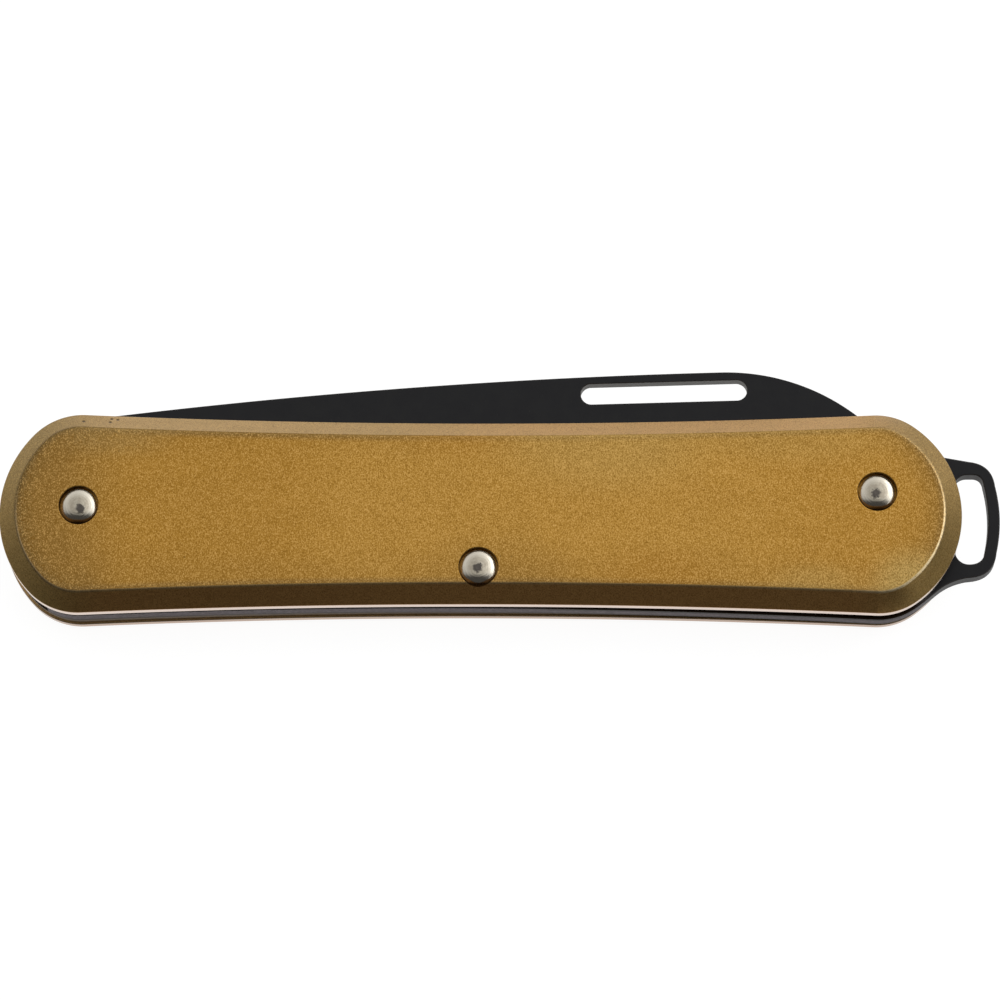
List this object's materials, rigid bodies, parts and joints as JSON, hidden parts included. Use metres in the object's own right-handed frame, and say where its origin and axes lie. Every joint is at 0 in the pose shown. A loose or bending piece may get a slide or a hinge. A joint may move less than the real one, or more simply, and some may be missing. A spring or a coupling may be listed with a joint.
{
  "type": "folding pocket knife",
  "caption": "Closed one-blade slipjoint folding knife with waisted bevelled metal scales, domed rivets, slotted black blade and a lanyard loop on its backspring.",
  "frame": {"origin": "middle of the handle on the outer face of the rear scale, which the closed knife lies on", "axes": "+X along the handle from the pivot end to the lanyard loop, +Y across it to the side where the blade comes out, +Z from the rear scale to the front scale"},
  "size_m": [0.1124, 0.029, 0.0099],
  "materials": {
    "anodised_scale": "fine blasted, anodised bronze",
    "coated_steel": "matt black coated steel",
    "rivet_steel": "polished steel",
    "liner_steel": "darkened steel",
    "washer_bronze": "plain rolled bronze"
  },
  "bodies": {
    "handle": {"front_scale": "anodised_scale", "rear_scale": "anodised_scale", "front_liner": "liner_steel", "rear_liner": "liner_steel", "backspring": "coated_steel", "pivot_rivet": "rivet_steel", "middle_rivet": "rivet_steel", "tail_rivet": "rivet_steel", "pivot_bushing": "rivet_steel", "front_pivot_washer": "washer_bronze", "rear_pivot_washer": "washer_bronze"},
    "blade": {"blade": "coated_steel"}
  },
  "joints": [
    {"name": "blade_pivot", "type": "hinge", "parent": "handle", "child": "blade", "pos_m": [-0.04495, 0.00043, 0.00495], "axis": [0, 0, 1], "range_deg": [0, 175]}
  ]
}
